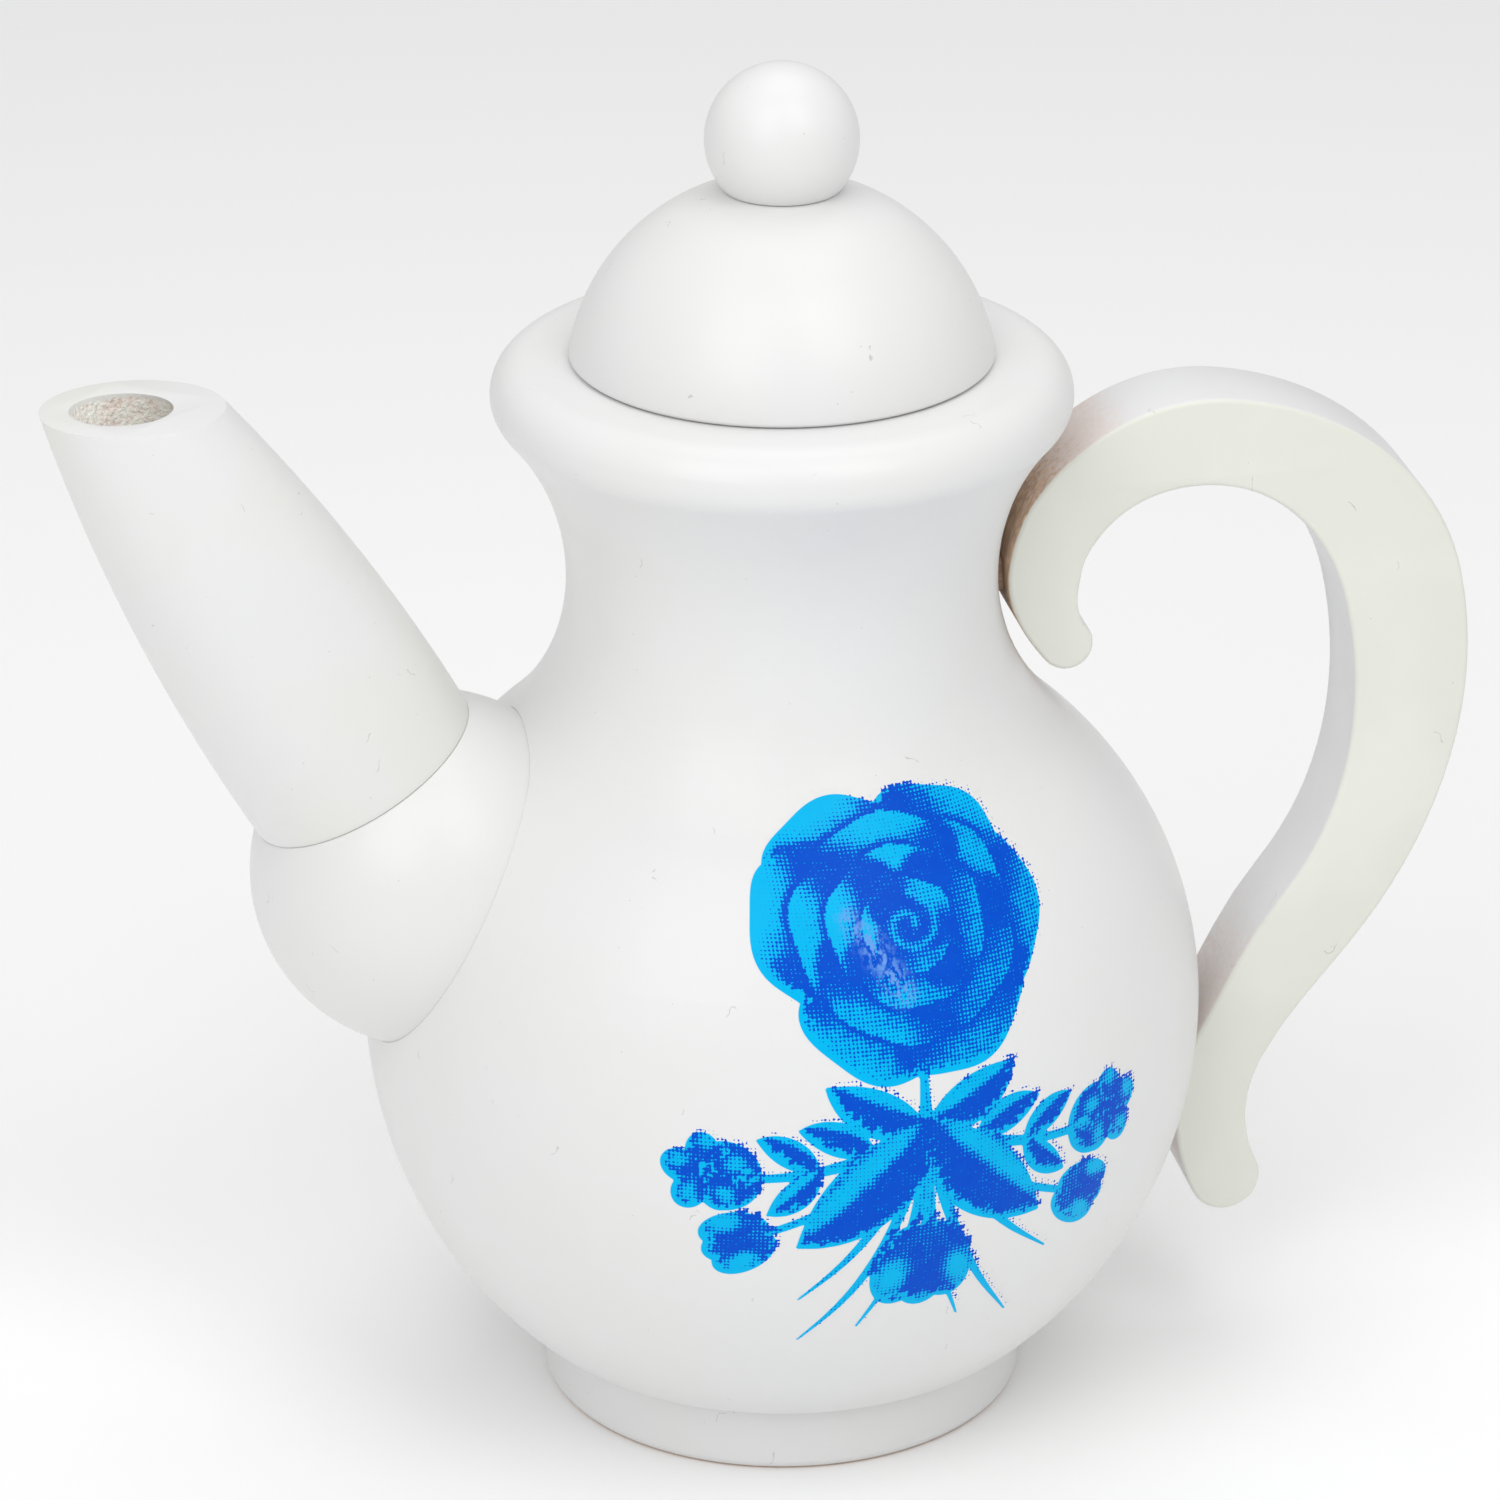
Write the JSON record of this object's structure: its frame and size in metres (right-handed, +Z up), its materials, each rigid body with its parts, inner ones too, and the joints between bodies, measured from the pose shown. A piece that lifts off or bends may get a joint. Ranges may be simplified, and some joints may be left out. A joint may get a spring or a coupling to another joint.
{
  "type": "wooden teapot",
  "caption": "Turned and painted wooden teapot with a round belly, flared rim, lift-off domed lid with ball knob, bored spout on a ball, S-shaped board handle and blue flower print.",
  "frame": {"origin": "centre of the foot's flat underside, on the body's turning axis", "axes": "+Z up along the turning axis, +X towards the handle, -X towards the spout"},
  "size_m": [0.1701, 0.1014, 0.1681],
  "materials": {
    "white_paint": "smooth white paint, satin to semi-gloss, over turned wood",
    "ivory_paint": "smooth warm white paint, satin, over wood",
    "bare_wood": "plain unfinished wood, matt"
  },
  "bodies": {
    "pot": {"body": "white_paint", "foot": "white_paint", "spout_ball": "white_paint", "spout": "ivory_paint", "handle": "ivory_paint", "upper_handle_dowel": "bare_wood", "lower_handle_dowel": "bare_wood"},
    "lid": {"lid": "white_paint", "knob": "white_paint", "knob_dowel": "bare_wood"}
  },
  "joints": [
    {"name": "lid_lift", "type": "slide", "parent": "pot", "child": "lid", "axis": [0, 0, 1], "range_m": [0, 0.03]}
  ]
}
